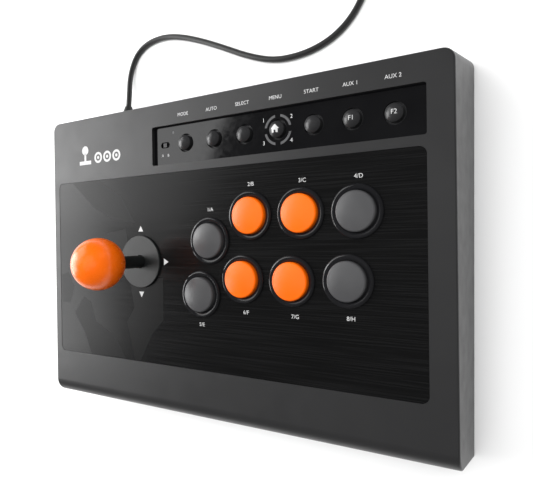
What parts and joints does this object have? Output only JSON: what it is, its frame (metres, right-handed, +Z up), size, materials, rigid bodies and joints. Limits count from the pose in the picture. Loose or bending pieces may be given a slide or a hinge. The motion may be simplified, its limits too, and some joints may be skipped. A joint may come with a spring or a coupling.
{
  "type": "arcade joystick panel",
  "caption": "Wedge-shaped table-top game controller with a ball-top lever, round push buttons, a recessed strip of small controls and a coiled USB lead.",
  "frame": {"origin": "on the table under the middle of the housing, its lead left out", "axes": "+X to the player's right, +Y away from the player towards the lead, +Z up"},
  "size_m": [0.337, 0.4092, 0.1157],
  "materials": {
    "housing_plastic": "satin moulded dark grey",
    "art_gloss": "gloss black printed panel",
    "strip_gloss": "gloss black strip",
    "foot_rubber": "matt black rubber",
    "screw_steel": "zinc-plated steel",
    "board_green": "green solder mask",
    "chip_black": "moulded black package",
    "bezel_black": "gloss black",
    "cap_orange": "gloss orange",
    "cap_grey": "gloss grey",
    "small_grey": "gloss grey",
    "ball_orange": "gloss orange",
    "shaft_steel": "polished steel",
    "washer_grey": "satin dark grey",
    "nylon_white": "natural nylon",
    "light_white": "white light guide",
    "lead_black": "matt black PVC",
    "tie_black": "matt black",
    "plug_steel": "nickel plating"
  },
  "bodies": {
    "housing": {"top_shell": "housing_plastic", "art_panel": "art_gloss", "base_plate": "housing_plastic", "rubber_feet": "foot_rubber", "base_screws": "screw_steel", "control_strip": "strip_gloss", "home_light_ring": "light_white", "control_pcb": "board_green", "tact_switches": "chip_black", "board_screws": "screw_steel", "slide_switch_body": "chip_black", "status_led": "light_white", "main_pcb": "board_green", "main_pcb_chips": "chip_black", "button_bodies": "bezel_black", "button_nuts": "bezel_black", "button_switches": "chip_black", "lever_mount_plate": "screw_steel", "lever_body": "chip_black", "lever_bolts": "screw_steel", "lever_nuts": "screw_steel", "lever_pcb": "board_green", "lever_switches": "chip_black", "lever_connector": "nylon_white", "restrictor_gate": "nylon_white", "gate_screws": "screw_steel", "strain_relief": "lead_black", "inner_lead": "lead_black", "usb_cord": "lead_black", "cord_coil": "lead_black", "cord_tie": "tie_black", "usb_plug": "lead_black", "plug_shell": "plug_steel"},
    "race": {"pivot_race": "nylon_white"},
    "lever": {"lever_shaft": "shaft_steel", "shaft_sleeve": "washer_grey", "ball_top": "ball_orange", "pivot_ball": "nylon_white", "spring_seat": "nylon_white", "lever_spring": "shaft_steel", "lever_actuator": "chip_black", "lever_e_clip": "shaft_steel"},
    "inner_washer": {"inner_dust_washer": "washer_grey"},
    "washer": {"dust_washer": "washer_grey"},
    "cap_1": {"button_cap_1": "cap_grey"},
    "cap_2": {"button_cap_2": "cap_orange"},
    "cap_3": {"button_cap_3": "cap_orange"},
    "cap_4": {"button_cap_4": "cap_grey"},
    "cap_5": {"button_cap_5": "cap_grey"},
    "cap_6": {"button_cap_6": "cap_orange"},
    "cap_7": {"button_cap_7": "cap_orange"},
    "cap_8": {"button_cap_8": "cap_grey"},
    "macro": {"macro_button": "small_grey"},
    "turbo": {"turbo_button": "small_grey"},
    "select": {"select_button": "small_grey"},
    "home": {"home_button": "small_grey"},
    "start": {"start_button": "small_grey"},
    "aux_1": {"aux_1_button": "small_grey"},
    "aux_2": {"aux_2_button": "small_grey"},
    "slide_knob": {"slide_switch_knob": "small_grey"}
  },
  "joints": [
    {"name": "lever_fore_aft", "type": "hinge", "parent": "housing", "child": "race", "pos_m": [-0.065, -0.00789, 0.04303], "axis": [1, 0, 0], "range_deg": [-8, 8], "stiffness_Nm_per_rad": 0.6},
    {"name": "lever_left_right", "type": "hinge", "parent": "race", "child": "lever", "pos_m": [-0.065, -0.00789, 0.04303], "axis": [0, 0.9976, 0.0698], "range_deg": [-8, 8], "stiffness_Nm_per_rad": 0.6},
    {"name": "washer_fore_aft", "type": "slide", "parent": "housing", "child": "inner_washer", "axis": [0, 0.9976, 0.0698], "range_m": [-0.002, 0.002]},
    {"name": "washer_left_right", "type": "slide", "parent": "inner_washer", "child": "washer", "axis": [1, 0, 0], "range_m": [-0.002, 0.002]},
    {"name": "button_1_press", "type": "slide", "parent": "housing", "child": "cap_1", "axis": [0, 0.0698, -0.9976], "range_m": [0, 0.003], "stiffness_N_per_m": 300},
    {"name": "button_2_press", "type": "slide", "parent": "housing", "child": "cap_2", "axis": [0, 0.0698, -0.9976], "range_m": [0, 0.003], "stiffness_N_per_m": 300},
    {"name": "button_3_press", "type": "slide", "parent": "housing", "child": "cap_3", "axis": [0, 0.0698, -0.9976], "range_m": [0, 0.003], "stiffness_N_per_m": 300},
    {"name": "button_4_press", "type": "slide", "parent": "housing", "child": "cap_4", "axis": [0, 0.0698, -0.9976], "range_m": [0, 0.003], "stiffness_N_per_m": 300},
    {"name": "button_5_press", "type": "slide", "parent": "housing", "child": "cap_5", "axis": [0, 0.0698, -0.9976], "range_m": [0, 0.003], "stiffness_N_per_m": 300},
    {"name": "button_6_press", "type": "slide", "parent": "housing", "child": "cap_6", "axis": [0, 0.0698, -0.9976], "range_m": [0, 0.003], "stiffness_N_per_m": 300},
    {"name": "button_7_press", "type": "slide", "parent": "housing", "child": "cap_7", "axis": [0, 0.0698, -0.9976], "range_m": [0, 0.003], "stiffness_N_per_m": 300},
    {"name": "button_8_press", "type": "slide", "parent": "housing", "child": "cap_8", "axis": [0, 0.0698, -0.9976], "range_m": [0, 0.003], "stiffness_N_per_m": 300},
    {"name": "macro_press", "type": "slide", "parent": "housing", "child": "macro", "axis": [0, 0.0698, -0.9976], "range_m": [0, 0.001], "stiffness_N_per_m": 400},
    {"name": "turbo_press", "type": "slide", "parent": "housing", "child": "turbo", "axis": [0, 0.0698, -0.9976], "range_m": [0, 0.001], "stiffness_N_per_m": 400},
    {"name": "select_press", "type": "slide", "parent": "housing", "child": "select", "axis": [0, 0.0698, -0.9976], "range_m": [0, 0.001], "stiffness_N_per_m": 400},
    {"name": "home_press", "type": "slide", "parent": "housing", "child": "home", "axis": [0, 0.0698, -0.9976], "range_m": [0, 0.001], "stiffness_N_per_m": 400},
    {"name": "start_press", "type": "slide", "parent": "housing", "child": "start", "axis": [0, 0.0698, -0.9976], "range_m": [0, 0.001], "stiffness_N_per_m": 400},
    {"name": "aux_1_press", "type": "slide", "parent": "housing", "child": "aux_1", "axis": [0, 0.0698, -0.9976], "range_m": [0, 0.001], "stiffness_N_per_m": 400},
    {"name": "aux_2_press", "type": "slide", "parent": "housing", "child": "aux_2", "axis": [0, 0.0698, -0.9976], "range_m": [0, 0.001], "stiffness_N_per_m": 400},
    {"name": "slide_switch_throw", "type": "slide", "parent": "housing", "child": "slide_knob", "axis": [1, 0, 0], "range_m": [-0.00125, 0.00125]}
  ],
  "couplings": [
    {"joint": "washer_fore_aft", "follows": "lever_fore_aft", "m_per_rad": -0.01375},
    {"joint": "washer_left_right", "follows": "lever_left_right", "m_per_rad": 0.01375}
  ]
}
